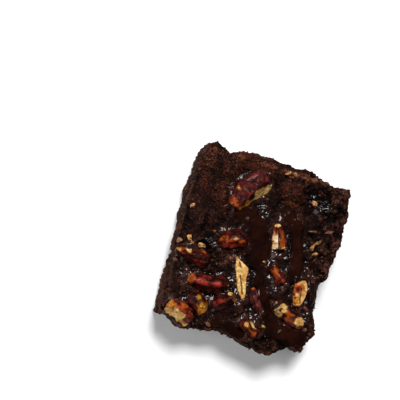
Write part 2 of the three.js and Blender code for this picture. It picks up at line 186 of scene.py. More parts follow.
# The large pecan pieces, with the places, sizes and turns of the solids: length, width and height,
# then yaw, pitch and roll in degrees. lift is how far the middle lies above the top of the cake.
# taper widens the piece toward its far end, bow bends it sideways in millimetres, and blunt fills
# out its ends the more the smaller it is. A bulge is its place along the piece and how much one
# side swells. A cut is a broken face: the direction that it faces and its share of the way out.
# bare says how bare of skin each cut is, and stain how far up the chocolate reaches. Marks and
# slits are in shares of the half length and half width. A mark is its kind, x, y, radius along x
# and radius along y, and lies on the marks before it. A slit is its two ends.
PECANS = {
    "pecan_large_back": {
        "at": (-10.6, 21.9), "size": (19.2, 10.4, 7.6), "turn": (51, 3, 8), "lift": 1.5,
        "taper": 0.2, "bow": 0.3, "blunt": 0.5, "skin": "ruby",
        "cuts": [(0, -0.72, 0.69, 0.74), (0.96, -0.1, 0.26, 0.92), (-0.3, 0.3, 0.9, 0.74)],
        "bare": [1, 0.9, 0], "stain": 0.2,
        "marks": [("amber", -0.86, -0.05, 0.18, 0.36), ("amber", -0.38, 0.74, 0.12, 0.26),
                  ("cream", -0.37, 0.8, 0.05, 0.1), ("gold", -0.55, -0.8, 0.45, 0.3)],
    },
    "pecan_knuckle": {
        "at": (-11.5, 1.3), "size": (12.4, 7.4, 6.4), "turn": (21, -4, -6), "lift": 1.4,
        "taper": 0.1, "bow": 0.4, "blunt": 0.55, "skin": "ruby",
        "cuts": [(-0.72, 0.3, 0.62, 0.66), (0.7, 0.55, 0.45, 0.84)],
        "bare": [0, 0], "stain": 0.9,
        "marks": [("amber", -0.6, 0.25, 0.42, 0.42), ("amber", 0, -0.02, 0.4, 0.28),
                  ("cream", -0.9, 0.5, 0.06, 0.14), ("cream", 0.1, 0.02, 0.16, 0.07),
                  ("amber", 0.45, -0.3, 0.24, 0.22), ("pale", 0, -0.6, 0.7, 0.3)],
        "slits": [(-0.72, 0.35, -0.5, 0.25), (0.2, 0.6, 0.42, 0.2)],
    },
    "pecan_upright": {
        "at": (6.3, 7.4), "size": (11.4, 5.4, 6.2), "turn": (-69, 8, 10), "lift": 1.9,
        "taper": 0.42, "bow": 0.2, "blunt": 0.55, "skin": "russet",
        "cuts": [(0, -0.72, 0.69, 0.72), (0.96, 0, 0.28, 0.8)],
        "bare": [1, 0.4], "stain": 0.4,
        "marks": [("amber", 0.1, 0.55, 0.85, 0.5), ("cream", -0.95, -0.1, 0.18, 0.5),
                  ("cream", 0.72, 0.7, 0.14, 0.4), ("skin", 0.15, -0.08, 0.75, 0.09),
                  ("pale", 0, -0.55, 1.1, 0.5)],
        "slits": [(-0.7, 0.04, 0.1, -0.06), (0.1, -0.06, 0.9, -0.1)],
    },
    "pecan_left_ridge": {
        "at": (-25.2, -9.0), "size": (14.6, 6.8, 5.8), "turn": (-9, 5, -12), "lift": 1.1,
        "taper": 0.1, "bow": 0.5, "blunt": 0.62, "skin": "ruby",
        "cuts": [(-0.25, 0.62, 0.74, 0.42)],
        "bare": [0], "stain": 0.9,
        "marks": [("amber", -0.8, 0.05, 0.24, 0.5), ("amber", -0.3, 0.4, 0.28, 0.5),
                  ("cream", -0.86, 0, 0.12, 0.3), ("cream", -0.3, 0.42, 0.15, 0.4),
                  ("amber", 0.5, 0.85, 0.12, 0.2)],
        "slits": [(-0.05, 0.05, 0.4, 0.2), (0.1, -0.4, 0.75, -0.15)],
    },
    "pecan_long_left": {
        "at": (-16.6, -17.2), "size": (17.8, 6.4, 6.6), "turn": (7, 0, 4), "lift": 1.6,
        "taper": 0.12, "bow": -0.5, "blunt": 0.62, "skin": "ruby",
        "cuts": [(-0.95, 0, 0.31, 0.86)],
        "bare": [0.4], "stain": 0.8,
        "marks": [("amber", -0.84, 0.02, 0.24, 0.8), ("cream", 0.92, -0.1, 0.07, 0.2),
                  ("pale", -0.35, 0.1, 0.4, 0.7), ("pale", 0.3, -0.1, 0.3, 0.4)],
    },
    "pecan_corner": {
        "at": (-24.3, -32.2), "size": (11.2, 9.2, 6.8), "turn": (-25, -3, 6), "lift": 1.3,
        "taper": 0.06, "bow": 0.3, "blunt": 0.55, "skin": "russet",
        "cuts": [(0.08, -0.74, 0.67, 0.32)],
        "bare": [1], "stain": 0.1,
        "marks": [("gold", -0.75, 0.2, 0.4, 0.5), ("amber", -0.1, 0.9, 0.4, 0.3),
                  ("skin", 0.78, 0.2, 0.3, 0.7), ("gold", 0.5, -0.5, 0.3, 0.3),
                  ("pale", -0.25, 0.36, 0.4, 0.3)],
        "slits": [(0.3, 0.9, 0.5, 0.3)],
    },
    "pecan_corner_inner": {
        "at": (-18.0, -26.3), "size": (9.4, 6.2, 6.0), "turn": (-43, 2, -5), "lift": 1.3,
        "taper": 0.1, "bow": 0.3, "blunt": 0.62, "skin": "ruby",
        "cuts": [(0.4, 0.2, 0.89, 0.62)],
        "bare": [0.1], "stain": 0.6,
        "marks": [("gold", 0.45, 0.05, 0.55, 0.8), ("gold", -0.4, 0.4, 0.3, 0.4),
                  ("cream", 0.55, 0.45, 0.1, 0.14), ("cream", 0.3, 0.05, 0.1, 0.12),
                  ("skin", -0.55, -0.65, 0.6, 0.42)],
    },
    "pecan_short_red": {
        "at": (-7.9, -22.4), "size": (10.6, 5.6, 6.0), "turn": (35, -6, 0), "lift": 1.7,
        "taper": -0.12, "bow": 0.2, "blunt": 0.6, "skin": "ruby",
        "cuts": [(0.9, 0, 0.44, 0.7)],
        "bare": [0.1], "stain": 0.8,
        "marks": [("cream", 0.55, 0.75, 0.2, 0.24), ("amber", 0.76, -0.45, 0.2, 0.4),
                  ("pale", -0.3, 0.3, 0.4, 0.4), ("pale", -0.8, 0.4, 0.15, 0.3)],
    },
    "pecan_pale_sliver": {
        "at": (-4.3, -11.8), "size": (18.8, 3.8, 4.8), "turn": (-68, 0, 3), "lift": 1.5,
        "taper": -0.05, "bow": 0.2, "blunt": 0.76, "bulge": (-0.38, 0.8), "skin": "russet",
        "cuts": [(0, 0.12, 0.99, 0.3), (0.825, 0.565, 0, 0.9), (-0.62, 0.785, 0, 0.76)],
        "bare": [1, 0.8, 0.9], "stain": 0.3,
        "marks": [("cream", 0, 0, 1.1, 1.2), ("skin", -0.72, -1, 0.2, 0.4)],
        "slits": [(-0.06, -0.04, 0.3, 0.04), (0.2, 0.03, 0.72, 0.02), (-0.62, 0.1, -0.42, 0.24)],
    },
    "pecan_brown_stick": {
        "at": (4.7, -19.1), "size": (10.8, 3.8, 4.6), "turn": (-53, 3, 0), "lift": 1.5,
        "taper": 0.1, "bow": -0.3, "blunt": 0.7, "skin": "plum",
        "cuts": [(0.93, 0, 0.37, 0.8)],
        "bare": [0.2], "stain": 0.6,
        "marks": [("amber", -0.97, 0.2, 0.07, 0.5), ("amber", 0.92, 0, 0.09, 0.6),
                  ("pale", 0, 0.1, 0.9, 0.8)],
    },
    "pecan_amber_stick": {
        "at": (10.3, -7.1), "size": (9.4, 4.2, 4.4), "turn": (-40, 0, 0), "lift": 1.4,
        "taper": 0.1, "bow": 0.2, "blunt": 0.66, "skin": "russet",
        "cuts": [(0.9, -0.2, 0.39, 0.85)],
        "bare": [0.2], "stain": 0.8,
        "marks": [("amber", -0.45, 0.1, 0.5, 0.7), ("dark", 0.95, -0.2, 0.3, 0.8)],
    },
    "pecan_pale_leaf": {
        "at": (20.7, -11.1), "size": (11.2, 5.2, 5.2), "turn": (-85, -3, 5), "lift": 1.4,
        "taper": -0.2, "bow": 0.2, "blunt": 0.55, "skin": "amber",
        "cuts": [(-0.1, 0.2, 0.97, 0.3), (-0.888, -0.46, 0, 0.78)],
        "bare": [1, 1], "stain": 0.5,
        "marks": [("cream", 0, 0.1, 1.1, 1.1), ("amber", -0.25, -0.3, 0.62, 1.35),
                  ("gold", 0.45, -0.4, 0.4, 0.6), ("skin", -0.3, -0.32, 0.2, 0.42),
                  ("skin", 0.98, 0, 0.1, 0.6)],
        "slits": [(-0.3, 0.2, 0.3, 0.28), (0.3, 0.28, 0.7, 0.35), (-0.35, -0.4, -0.1, -0.1)],
    },
    "pecan_fork": {
        "at": (19.5, -20.9), "size": (13.4, 6.6, 6.0), "turn": (-19, 0, -6), "lift": 1.3,
        "taper": -0.05, "bow": 0.4, "blunt": 0.55, "skin": "plum",
        "cuts": [(-0.12, -0.5, 0.86, 0.2), (-0.88, 0.1, 0.46, 0.72)],
        "bare": [0, 0.6], "stain": 0.8,
        "marks": [("cream", -0.66, 0.5, 0.2, 0.36), ("cream", -0.6, -0.5, 0.24, 0.44),
                  ("amber", -0.12, 0.1, 0.42, 0.36), ("cream", 0.66, 0.06, 0.3, 0.5),
                  ("amber", 0.1, -0.4, 0.3, 0.3), ("cream", -0.5, 0, 0.16, 0.3),
                  ("skin", 0, 0.95, 0.8, 0.36)],
        "slits": [(-1, -0.05, -0.62, -0.02), (0.3, 0.5, 0.4, -0.3)],
    },
    "pecan_front_bit": {
        "at": (5.2, -29.6), "size": (8.8, 6.4, 5.2), "turn": (-22, 0, 0), "lift": 1.2,
        "taper": 0.1, "bow": 0.3, "blunt": 0.6, "skin": "russet",
        "cuts": [(0.1, 0.62, 0.775, 0.25)],
        "bare": [0], "stain": 0.8,
        "marks": [("amber", -0.46, -0.12, 0.36, 0.5), ("cream", -0.56, -0.08, 0.24, 0.26),
                  ("cream", 0.1, 0.55, 0.42, 0.5), ("amber", 0.34, -0.42, 0.4, 0.36),
                  ("dark", 0.95, 0.1, 0.2, 0.6)],
        "slits": [(-0.25, 0.6, -0.05, -0.1), (-0.05, -0.1, 0.5, -0.1)],
    },
    "pecan_dark_sliver": {
        "at": (26.0, -9.0), "size": (10.2, 2.8, 4.0), "turn": (-78, 0, 0), "lift": 1.1,
        "taper": 0.05, "bow": 0.4, "blunt": 0.62, "skin": "plum",
        "cuts": [(0, 0.5, 0.87, 0.7)],
        "bare": [0], "stain": 1.3,
        "marks": [("dark", 0, 0, 1.2, 1.3)],
    },
}

# Fineness and form of every pecan piece
NUT_RINGS = 90
NUT_SIDES = 72
NUT_LOBES = 4
NUT_LOBE_DEPTH = 0.09
NUT_KNOB_SIZE = 3.2
NUT_KNOB_DEPTH = 0.16
NUT_BULGE_SPAN = 0.3
SLIT_WIDTH = 0.27
SLIT_DEPTH = 0.8
FOOTPRINT_POWER = 2.6

# The nuts' relief: chipped edges, wrinkles and folds of skin, crumbly flesh and broad swells
CHIP_SIZE = 1.9
CHIP_DEPTH = 0.2
WRINKLE_SIZE = 1.3
WRINKLE_DEPTH = 0.12
FOLD_SIZE = 2.4
FOLD_DEPTH = 0.17
CRUMBLE_SIZE = 1.1
CRUMBLE_DEPTH = 0.14
SWELL_SIZE = 3.4
SWELL_DEPTH = 0.18

# Chocolate on the nuts: the wavy line up to which they are stained, and the smears above it
STAIN_WAVE = 0.8
STAIN_WAVE_SIZE = 1.8
STAIN_MARGIN = 0.7
SMEAR_SIZE = 2.6

# What a mark raises and what it clears: cream is bare flesh, amber and gold are toasted flesh,
# skin covers them again, pale is a lighter patch and dark is chocolate. The softer kinds have
# wider margins.
MARK_RAISES = {"cream": "flesh", "amber": "amber", "gold": "gold", "pale": "pale", "dark": "dark"}
MARK_CLEARS = {
    "cream": ("amber", "gold"), "amber": ("flesh",), "gold": ("flesh",),
    "skin": ("flesh", "amber", "gold"),
}
MARK_MARGIN = 0.4
SOFT_MARGINS = {"amber": 0.8, "gold": 0.7, "pale": 0.8}

# Small nut crumbs: x, y, length, width, height, yaw, paleness, and how far above the cake their
# middles lie
CRUMB_RISE = 0.2
NUT_CRUMBS = [
    (-31.6, -4.6, 3.0, 2.3, 2.1, 20, 0.45), (-28.3, -2.8, 2.5, 2.8, 2.4, 0, 0.7),
    (-22.9, -4.5, 4.2, 2.3, 2.2, -10, 0.6), (-26.6, -4.4, 2.2, 1.8, 1.8, -30, 0.5),
    (-31.0, -12.4, 2.2, 1.8, 1.7, 50, 0.3), (-17.2, -22.8, 2.8, 2.4, 2.4, 80, 0.6),
    (-31.0, 9.6, 2.6, 1.5, 1.8, 40, 0.6), (-19.4, 2.6, 1.8, 1.6, 1.6, 0, 0.3),
    (27.4, -24.6, 2.2, 2.0, 2.0, 0, 0.4), (22.6, 10.2, 5.2, 1.7, 2.1, 40, 0.6),
    (21.2, 7.8, 1.7, 3.6, 2.1, -8, 0.5), (23.0, 5.8, 3.2, 1.8, 2.0, 36, 0.55),
    (17.4, 25.1, 4.2, 2.3, 2.4, -38, 0.85), (3.0, 33.4, 3.6, 1.7, 2.2, 24, 0.5),
    (5.8, 33.9, 2.6, 1.5, 1.7, -20, 0.45), (15.0, 34.2, 1.8, 1.5, 1.5, 0, 0.2),
    (25.6, -16.4, 1.9, 2.2, 1.8, 15, 0.25), (3.4, -3.2, 1.9, 1.1, 1.3, 0, 0.6),
    (-9.7, -5.6, 2.9, 2.4, 2.0, 60, 0.1), (10.6, -27.8, 2.2, 1.6, 1.6, 30, 0.6),
    (-11.0, -33.0, 2.4, 1.7, 1.8, -40, 0.4), (26.2, 15.8, 4.2, 1.3, 1.5, 14, 0.35),
    (20.0, 14.2, 4.4, 1.2, 1.5, 18, 0.35), (8.2, -4.0, 1.5, 1.4, 1.5, 0, 0.8),
    (13.2, -17.6, 2.6, 1.3, 1.5, -60, 0.5),
]


def smooth(t):
    """0 below 0, 1 above 1 and an even curve between."""
    c = np.clip(t, 0, 1)
    return c * c * (3 - 2 * c)


def lattice(i, j, k):
    """A fixed number from 0 to 1 for each corner of the noise's grid."""
    s = np.sin(i * 127.1 + j * 311.7 + k * 74.7) * 43758.5453
    return s - np.floor(s)


def noise(x, y, z):
    """Value noise in three dimensions, from 0 to 1."""
    i, j, k = np.floor(x), np.floor(y), np.floor(z)
    fx, fy, fz = smooth(x - i), smooth(y - j), smooth(z - k)
    total = 0
    for di, wx in ((0, 1 - fx), (1, fx)):
        for dj, wy in ((0, 1 - fy), (1, fy)):
            for dk, wz in ((0, 1 - fz), (1, fz)):
                total = total + wx * wy * wz * lattice(i + di, j + dj, k + dk)
    return total


def layered(points, size, octaves=3):
    """Noise of several sizes at points, from about -1 to 1, each half as large as the last."""
    total = np.zeros(len(points))
    for octave in range(octaves):
        p = points * 2**octave / size + 17.3 * octave
        total += (noise(p[:, 0], p[:, 1], p[:, 2]) * 2 - 1) / 2**octave
    return total


def ridges(points, size):
    """Narrow creases between rounded ridges, from -1 at a crease to about 0.4."""
    creased = np.abs(layered(points, size, 2))
    return 1.4 * smooth(creased / 0.45) - 1


def grains(points, size):
    """The distance from each point to the nearest grain's middle, in grain sizes."""
    cell = points / size
    base = np.floor(cell)
    nearest = np.full(len(points), np.inf)
    for step in np.ndindex(3, 3, 3):
        corner = base + np.array(step) - 1
        i, j, k = corner.T
        jitter = [lattice(i, j, k), lattice(i + 57, j, k + 13), lattice(i, j + 91, k + 29)]
        distance = np.linalg.norm(corner + np.array(jitter).T - cell, axis=1)
        nearest = np.minimum(nearest, distance)
    return nearest


def crags(x, y, z):
    """How far the surface stands out as crags at a point, in millimetres."""
    coarse = noise(x / CRAG_COARSE, y / CRAG_COARSE, z / CRAG_COARSE) * 2 - 1
    fine = noise(x / CRAG_FINE + 31, y / CRAG_FINE, z / CRAG_FINE) * 2 - 1
    return coarse * CRAG_COARSE_DEPTH + fine * CRAG_FINE_DEPTH


def outline_stretch(u, v):
    """How far the outline reaches past the nominal rectangle, by bearing on its unit square."""
    x, y = np.array(OUTLINE).T
    bearings = np.arctan2(y / HALF_Y, x / HALF_X)
    reach = np.maximum(np.abs(x) / HALF_X, np.abs(y) / HALF_Y)
    order = np.argsort(bearings)
    return np.interp(np.arctan2(v, u), bearings[order], reach[order], period=2 * math.pi)


def distance_to_line(x, y, line):
    """How far each point is from a line of straight stretches."""
    nearest = np.full(np.shape(x), np.inf)
    for (ax, ay), (bx, by) in zip(line, line[1:]):
        span = (bx - ax) ** 2 + (by - ay) ** 2
        t = np.clip(((x - ax) * (bx - ax) + (y - ay) * (by - ay)) / span, 0, 1)
        nearest = np.minimum(nearest, np.hypot(x - ax - t * (bx - ax), y - ay - t * (by - ay)))
    return nearest


def drizzle_share(x, y):
    """1 on a drizzle of fudge and 0 clear of it, with a wavy margin."""
    size = DRIZZLE_WAVE_SIZE
    wave = (noise(x / size, y / size, np.full(np.shape(x), 5.0)) - 0.5) * DRIZZLE_WAVE
    reach = [half + wave - distance_to_line(x, y, line) for half, line in DRIZZLES]
    return smooth(np.max(reach, axis=0) / DRIZZLE_MARGIN)


def top_height(x, y):
    """The height of the top at a point, without the rounding of the rim."""
    height = np.full(np.shape(x), TOP_Z)
    for cx, cy, rx, ry, rise in SWELLS:
        height = height + rise * np.exp(-(((x - cx) / rx) ** 2) - ((y - cy) / ry) ** 2)
    for cx, cy, rx, ry, rise in LUMPS:
        reach = ((x - cx) / rx) ** 2 + ((y - cy) / ry) ** 2
        height = height + rise * np.exp(-(reach**LUMP_POWER))
    crest_y = CREST["y"] + CREST["fall"] * x
    share = smooth((x - CREST["from"]) / CREST["fade"]) * smooth((CREST["to"] - x) / CREST["fade"])
    height = height + CREST["height"] * share * np.exp(-(((y - crest_y) / CREST["width"]) ** 2))
    drizzle = drizzle_share(x, y)
    rough = crags(x, y, np.full(np.shape(x), 40.0)) * (1 - DRIZZLE_CALM * drizzle)
    return height + rough + DRIZZLE_DEPTH * (drizzle - DRIZZLE_SINK)


def zone_share(x, y, zones):
    """1 inside the zones and 0 clear of them, with an uneven margin."""
    wave = 0
    for size, height, level in ZONE_WAVES:
        wave = wave + height * (noise(x / size, y / size, np.full(np.shape(x), level)) - 0.5)
    reach = [np.hypot((x - cx) / rx, (y - cy) / ry) for cx, cy, rx, ry in zones]
    return smooth((1.1 + wave - np.min(reach, axis=0)) / ZONE_MARGIN)


def mesh_object(name, points, faces, **layers):
    """An object from points in millimetres, with a number on each point for every layer."""
    mesh = bpy.data.meshes.new(name)
    mesh.from_pydata((np.asarray(points) * MM).tolist(), [], faces)
    mesh.update()
    mesh.shade_smooth()
    for layer, values in layers.items():
        attribute = mesh.attributes.new(layer, "FLOAT", "POINT")
        attribute.data.foreach_set("value", np.asarray(values, np.float32))
    piece = bpy.data.objects.new(name, mesh)
    bpy.context.scene.collection.objects.link(piece)
    return piece


def point_normals(points, faces):
    """The unit normal at each point of a mesh of three- and four-sided faces."""
    mesh = bpy.data.meshes.new("scratch")
    mesh.from_pydata(points.tolist(), [], faces)
    mesh.update()
    normals = np.zeros(len(points) * 3, np.float32)
    mesh.vertex_normals.foreach_get("vector", normals)
    bpy.data.meshes.remove(mesh)
    return normals.reshape(-1, 3).astype(float)


def box_surface():
    """The unit block's surface: u and v across, w up, and its faces, turned outward."""
    nx, ny = CELLS_X + 1, CELLS_Y + 1
    u, v = np.meshgrid(np.linspace(-1, 1, nx), np.linspace(-1, 1, ny))
    spots = [np.stack([u.ravel(), v.ravel(), np.ones(nx * ny)], axis=1)]
    grid = np.arange(nx * ny).reshape(ny, nx)
    corners = (grid[:-1, :-1], grid[:-1, 1:], grid[1:, 1:], grid[1:, :-1])
    faces = np.stack([c.ravel() for c in corners], axis=1).tolist()
    loop = np.concatenate([grid[0, :-1], grid[:-1, -1], grid[-1, :0:-1], grid[:0:-1, 0]])
    rim = spots[0][loop]
    above = loop
    count = nx * ny
    wall = [(1.0, w) for w in 1 - np.arange(1, WALL_LEVELS + 1) / WALL_LEVELS]
    base = [(1 - r / BASE_RINGS, 0.0) for r in range(1, BASE_RINGS)]
    for scale, w in wall + base:
        spots.append(rim * (scale, scale, 0) + (0, 0, w))
        below = np.arange(count, count + len(loop))
        ring = np.stack([above, below, np.roll(below, -1), np.roll(above, -1)], axis=1)
        faces += ring.tolist()
        above = below
        count += len(loop)
    spots.append(np.array([[0.0, 0.0, 0.0]]))
    faces += [(a, count, b) for a, b in zip(above.tolist(), np.roll(above, -1).tolist())]
    return np.concatenate(spots), faces


def cake_points(spots):
    """The block drawn out to the outline and roughened, as the cake's solid is."""
    u, v, w = spots.T
    edge = np.maximum(np.abs(u), np.abs(v))
    stretch = 1 + (outline_stretch(u, v) - 1) * edge**2
    x = u * HALF_X * stretch
    y = v * HALF_Y * stretch
    rim = edge**RIM_POWER
    front_left = smooth(-u * 2 - 1) * smooth(0.6 - v)
    out = np.hypot(x, y)
    out[out == 0] = 1
    push = rim * (
        crags(x, y, w * TOP_Z) * np.where(w > 0, 1, BASE_CRAGS)
        - RIM_PULL * w**PULL_POWER
        - FOOT_PULL * (1 - w) ** PULL_POWER
        + FRONT_LEFT_LEAN * front_left * (1 - w)
    )
    x = x + x / out * push
    y = y + y / out * push
    return np.stack([x, y, w * (top_height(x, y) - RIM_DROP * rim)], axis=1)


def nut_reach(x, y, pecan):
    """How far a point is outside a pecan's footprint, in millimetres; negative inside."""
    yaw = math.radians(pecan["turn"][0])
    dx, dy = x - pecan["at"][0], y - pecan["at"][1]
    along = dx * math.cos(yaw) + dy * math.sin(yaw)
    across = -dx * math.sin(yaw) + dy * math.cos(yaw)
    length, width, _ = pecan["size"]
    along = np.abs(2 * along / length) ** FOOTPRINT_POWER
    across = np.abs(2 * across / width) ** FOOTPRINT_POWER
    return ((along + across) ** (1 / FOOTPRINT_POWER) - 1) * width / 2


def nut_clearance(x, y):
    """How far a point is outside the nearest pecan's footprint, in millimetres."""
    return np.min([nut_reach(x, y, pecan) for pecan in PECANS.values()], axis=0)


def make_cake():
    """The cake: crumb, pits, torn walls and smooth fudge as relief on the solid's form."""
    spots, faces = box_surface()
    points = cake_points(spots)
    normals = point_normals(points, faces)
    x, y, z = points.T
    upward = smooth((normals[:, 2] - 0.25) / 0.5)
    glaze = drizzle_share(x, y) * upward
    wet = zone_share(x, y, WET_ZONES) * upward * WET_STRENGTH * (1 - glaze)
    dry = zone_share(x, y, DRY_ZONES) * upward * (1 - glaze)
    crust = zone_share(x, y, CRUST_ZONES) * upward * (1 - glaze)
    rough = np.maximum(zone_share(x, y, ROUGH_ZONES), 1 - upward)
    collar = np.exp(-((np.maximum(nut_clearance(x, y), 0) / COLLAR_WIDTH) ** 2)) * upward
    collar = collar * smooth(0.6 + 0.7 * layered(points + 12, 2.2, 2))
    wet = np.maximum(wet, collar)

    forms = {
        "lumps": 0.62 - grains(points + 0.6 * layered(points, 3.0)[:, None], COARSE_GRAIN),
        "grit": 0.6 - grains(points, FINE_GRAIN),
        "clods": layered(points, CLOD_SIZE),
        "pits": smooth((layered(points + 50, PIT_SIZE, 2) - 0.42) / 0.35),
    }
    relief = 0
    for kind, form in forms.items():
        plain, on_rough, on_dry, on_wet = RELIEF_DEPTHS[kind]
        relief = relief + form * (plain + on_rough * rough + on_dry * dry + on_wet * wet)
    relief = relief * (1 - DRIZZLE_CALM * glaze)
    relief = relief + COLLAR_HEIGHT * collar
    relief = relief + RIPPLE_DEPTH * glaze * layered(points, RIPPLE_SIZE, 3)
    streak = layered(points * (1.0, 1.0, 0.35), STREAK_SIZE, 2)
    relief = relief + (1 - upward) * STREAK_DEPTH * streak
    points = points + normals * (relief * smooth(z / BASE_HOLD))[:, None]
    # Painted shade and light: this layer is low in the pits of the relief and high on its bumps,
    # and the cake's colour follows it, darker in the pits and lighter on the high points
    cavity = np.clip(0.5 + relief / 1.4, 0, 1)
    cake = mesh_object(
        "cake_body", points, faces, glaze=glaze, wet=wet, dry=dry, crust=crust, cavity=cavity,
        wall=1 - upward,
    )
    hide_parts("cake")
    return cake, points, {"glaze": glaze, "dry": dry, "rough": rough, "wet": wet}


def turn_matrix(yaw, pitch, roll):
    """Roll about x, then pitch about y, then yaw about z, in degrees."""
    turns = [(roll, "X"), (pitch, "Y"), (yaw, "Z")]
    matrix = Matrix.Identity(3)
    for angle, axis in turns:
        matrix = Matrix.Rotation(math.radians(angle), 3, axis) @ matrix
    return np.array(matrix)


def nut_sphere():
    """A unit sphere with its poles on the x axis, and its faces, turned outward."""
    lean = np.linspace(0, math.pi, NUT_RINGS + 1)[1:-1]
    around = np.arange(NUT_SIDES) * 2 * math.pi / NUT_SIDES
    ring, turn = np.meshgrid(lean, around, indexing="ij")
    body = [-np.cos(ring), np.sin(ring) * np.cos(turn), np.sin(ring) * np.sin(turn)]
    points = np.stack([b.ravel() for b in body], axis=1)
    points = np.concatenate([points, [[-1, 0, 0], [1, 0, 0]]])
    grid = np.arange(len(lean) * NUT_SIDES).reshape(len(lean), NUT_SIDES)
    after = np.roll(grid, -1, axis=1)
    quads = np.stack([grid[:-1], grid[1:], after[1:], after[:-1]], axis=-1).reshape(-1, 4)
    near, far = len(points) - 2, len(points) - 1
    faces = quads[:, ::-1].tolist()
    faces += [(near, b, a) for a, b in zip(after[0].tolist(), grid[0].tolist())]
    faces += [(far, b, a) for a, b in zip(grid[-1].tolist(), after[-1].tolist())]
    return points, faces


def nut_points(sphere, pecan):
    """A blunt, knobbly, lobed oval with flat broken faces, and how broken each point is."""
    half = np.array(pecan["size"]) / 2
    x, y, z = sphere.T
    ring = np.hypot(y, z)
    ring[ring < 1e-6] = 1
    square = ring ** pecan["blunt"] / ring
    around = np.arctan2(z, y)
    lobe = NUT_LOBE_DEPTH * np.cos(NUT_LOBES * around) * smooth(z * 2 + 0.5)
    spot = sphere * half / NUT_KNOB_SIZE
    knob = noise(spot[:, 0] + pecan["at"][0], spot[:, 1] + pecan["at"][1], spot[:, 2]) * 2 - 1
    middle, gain = pecan.get("bulge", (0, 0))
    wide = 1 + gain * smooth(y) * np.exp(-(((x - middle) / NUT_BULGE_SPAN) ** 2))
    swell = square * (1 + lobe + NUT_KNOB_DEPTH * knob) * (1 + pecan["taper"] * x)
    bend = pecan["bow"] * (1 - 2 * x * x)
    across = y * wide * swell * half[1] + bend
    points = np.stack([x * half[0], across, z * swell * half[2]], axis=1)
    broken = np.zeros(len(points))
    for (*direction, share), bare in zip(pecan["cuts"], pecan["bare"]):
        direction = np.array(direction)
        reach = np.linalg.norm(direction * half)
        chip = CHIP_DEPTH * layered(points + 9, CHIP_SIZE, 2)
        past = points @ direction - share * reach - chip
        points = points - np.maximum(past, 0)[:, None] * direction
        broken = np.maximum(broken, smooth(past / 0.5) * bare)
    return points, broken


def colour_shares(points, half, pecan, broken):
    """How much of each kind of surface shows at each point of a piece, from 0 to 1."""
    x, y = points[:, 0] / half[0], points[:, 1] / half[1]
    wave = 0.4 * layered(points + 33, 1.7, 3)
    up = smooth(points[:, 2] / half[2] + 0.7)
    shares = {layer: np.zeros(len(points)) for layer in MARK_RAISES.values()}
    shares["flesh"] = broken
    for kind, cx, cy, rx, ry in pecan["marks"]:
        reach = np.hypot((x - cx) / rx, (y - cy) / ry)
        share = smooth((1.15 + wave - reach) / SOFT_MARGINS.get(kind, MARK_MARGIN)) * up
        for layer in MARK_CLEARS.get(kind, ()):
            shares[layer] = shares[layer] * (1 - share)
        if kind in MARK_RAISES:
            layer = MARK_RAISES[kind]
            shares[layer] = np.maximum(shares[layer], share)
    return shares


def slit_depth(points, half, pecan):
    """0 clear of a piece's slits and 1 along the middle of one."""
    depth = np.zeros(len(points))
    for ax, ay, bx, by in pecan.get("slits", []):
        ends = [(ax * half[0], ay * half[1]), (bx * half[0], by * half[1])]
        away = distance_to_line(points[:, 0], points[:, 1], ends)
        depth = np.maximum(depth, np.exp(-((away / SLIT_WIDTH) ** 2)) * (points[:, 2] > 0))
    return depth


def make_pecan(name, pecan):
    """One broken pecan piece: wrinkled skin, and granular flesh on its broken faces."""
    sphere, faces = nut_sphere()
    half = np.array(pecan["size"]) / 2
    points, broken = nut_points(sphere, pecan)
    normals = point_normals(points, faces)
    shares = colour_shares(points, half, pecan, broken)
    flesh, pale = shares["flesh"], shares["pale"]
    seed = np.array([pecan["at"][0], pecan["at"][1], 0])
    curl = points + 0.9 * layered(points + seed + 21, 3.0, 2)[:, None]
    wrinkle = ridges(curl * (0.45, 1, 1) + seed, WRINKLE_SIZE)
    fold = layered(curl * (0.5, 1, 1) + seed, FOLD_SIZE, 2)
    crumble = layered(points + seed, CRUMBLE_SIZE, 3)
    swell = layered(points + seed + 5, SWELL_SIZE, 2)
    slit = slit_depth(points, half, pecan)
    relief = (1 - flesh) * (WRINKLE_DEPTH * wrinkle + FOLD_DEPTH * fold)
    relief = relief + flesh * CRUMBLE_DEPTH * crumble + SWELL_DEPTH * swell
    points = points + normals * relief[:, None]
    points[:, 2] -= SLIT_DEPTH * slit
    world = points @ turn_matrix(*pecan["turn"]).T
    at = np.array(pecan["at"], float)
    world += (*at, top_height(at[:1], at[1:])[0] + pecan["lift"])
    above = world[:, 2] - top_height(world[:, 0], world[:, 1])
    level = pecan["stain"] + STAIN_WAVE * layered(world, STAIN_WAVE_SIZE, 3)
    stain = smooth((level - above) / STAIN_MARGIN)
    smear = smooth((layered(world + 70, SMEAR_SIZE, 3) - 0.75) / 0.3)
    smear = smear * (0.7 - 0.6 * flesh) * (1 - 0.8 * pale)
    # Painted shade and light: fold comes from the wrinkles and folds of the relief, so the skin is
    # darker in their creases and lighter on their ridges, besides the pale patches of its own
    # colour
    piece = mesh_object(
        name + "_nut", world, faces, flesh=flesh, amber=shares["amber"], gold=shares["gold"],
        # Painted shade: the slits, sunk into grooves, are darkened within the dark layer along
        # with the chocolate
        dark=np.max([shares["dark"], stain, smear, slit * 0.6], axis=0),
        fold=np.clip(0.42 + wrinkle * 0.24 + fold * 0.22 + pale * 0.35, 0, 1),
        # Painted shade and light: grain comes from the crumbly relief of the flesh, darker in its
        # crevices and lighter on its high points, and the pale patches lighten it too
        grain=np.clip(0.55 + crumble * 0.3 + pale * 0.55, 0, 1.3),
    )
    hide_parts(name)
    return piece


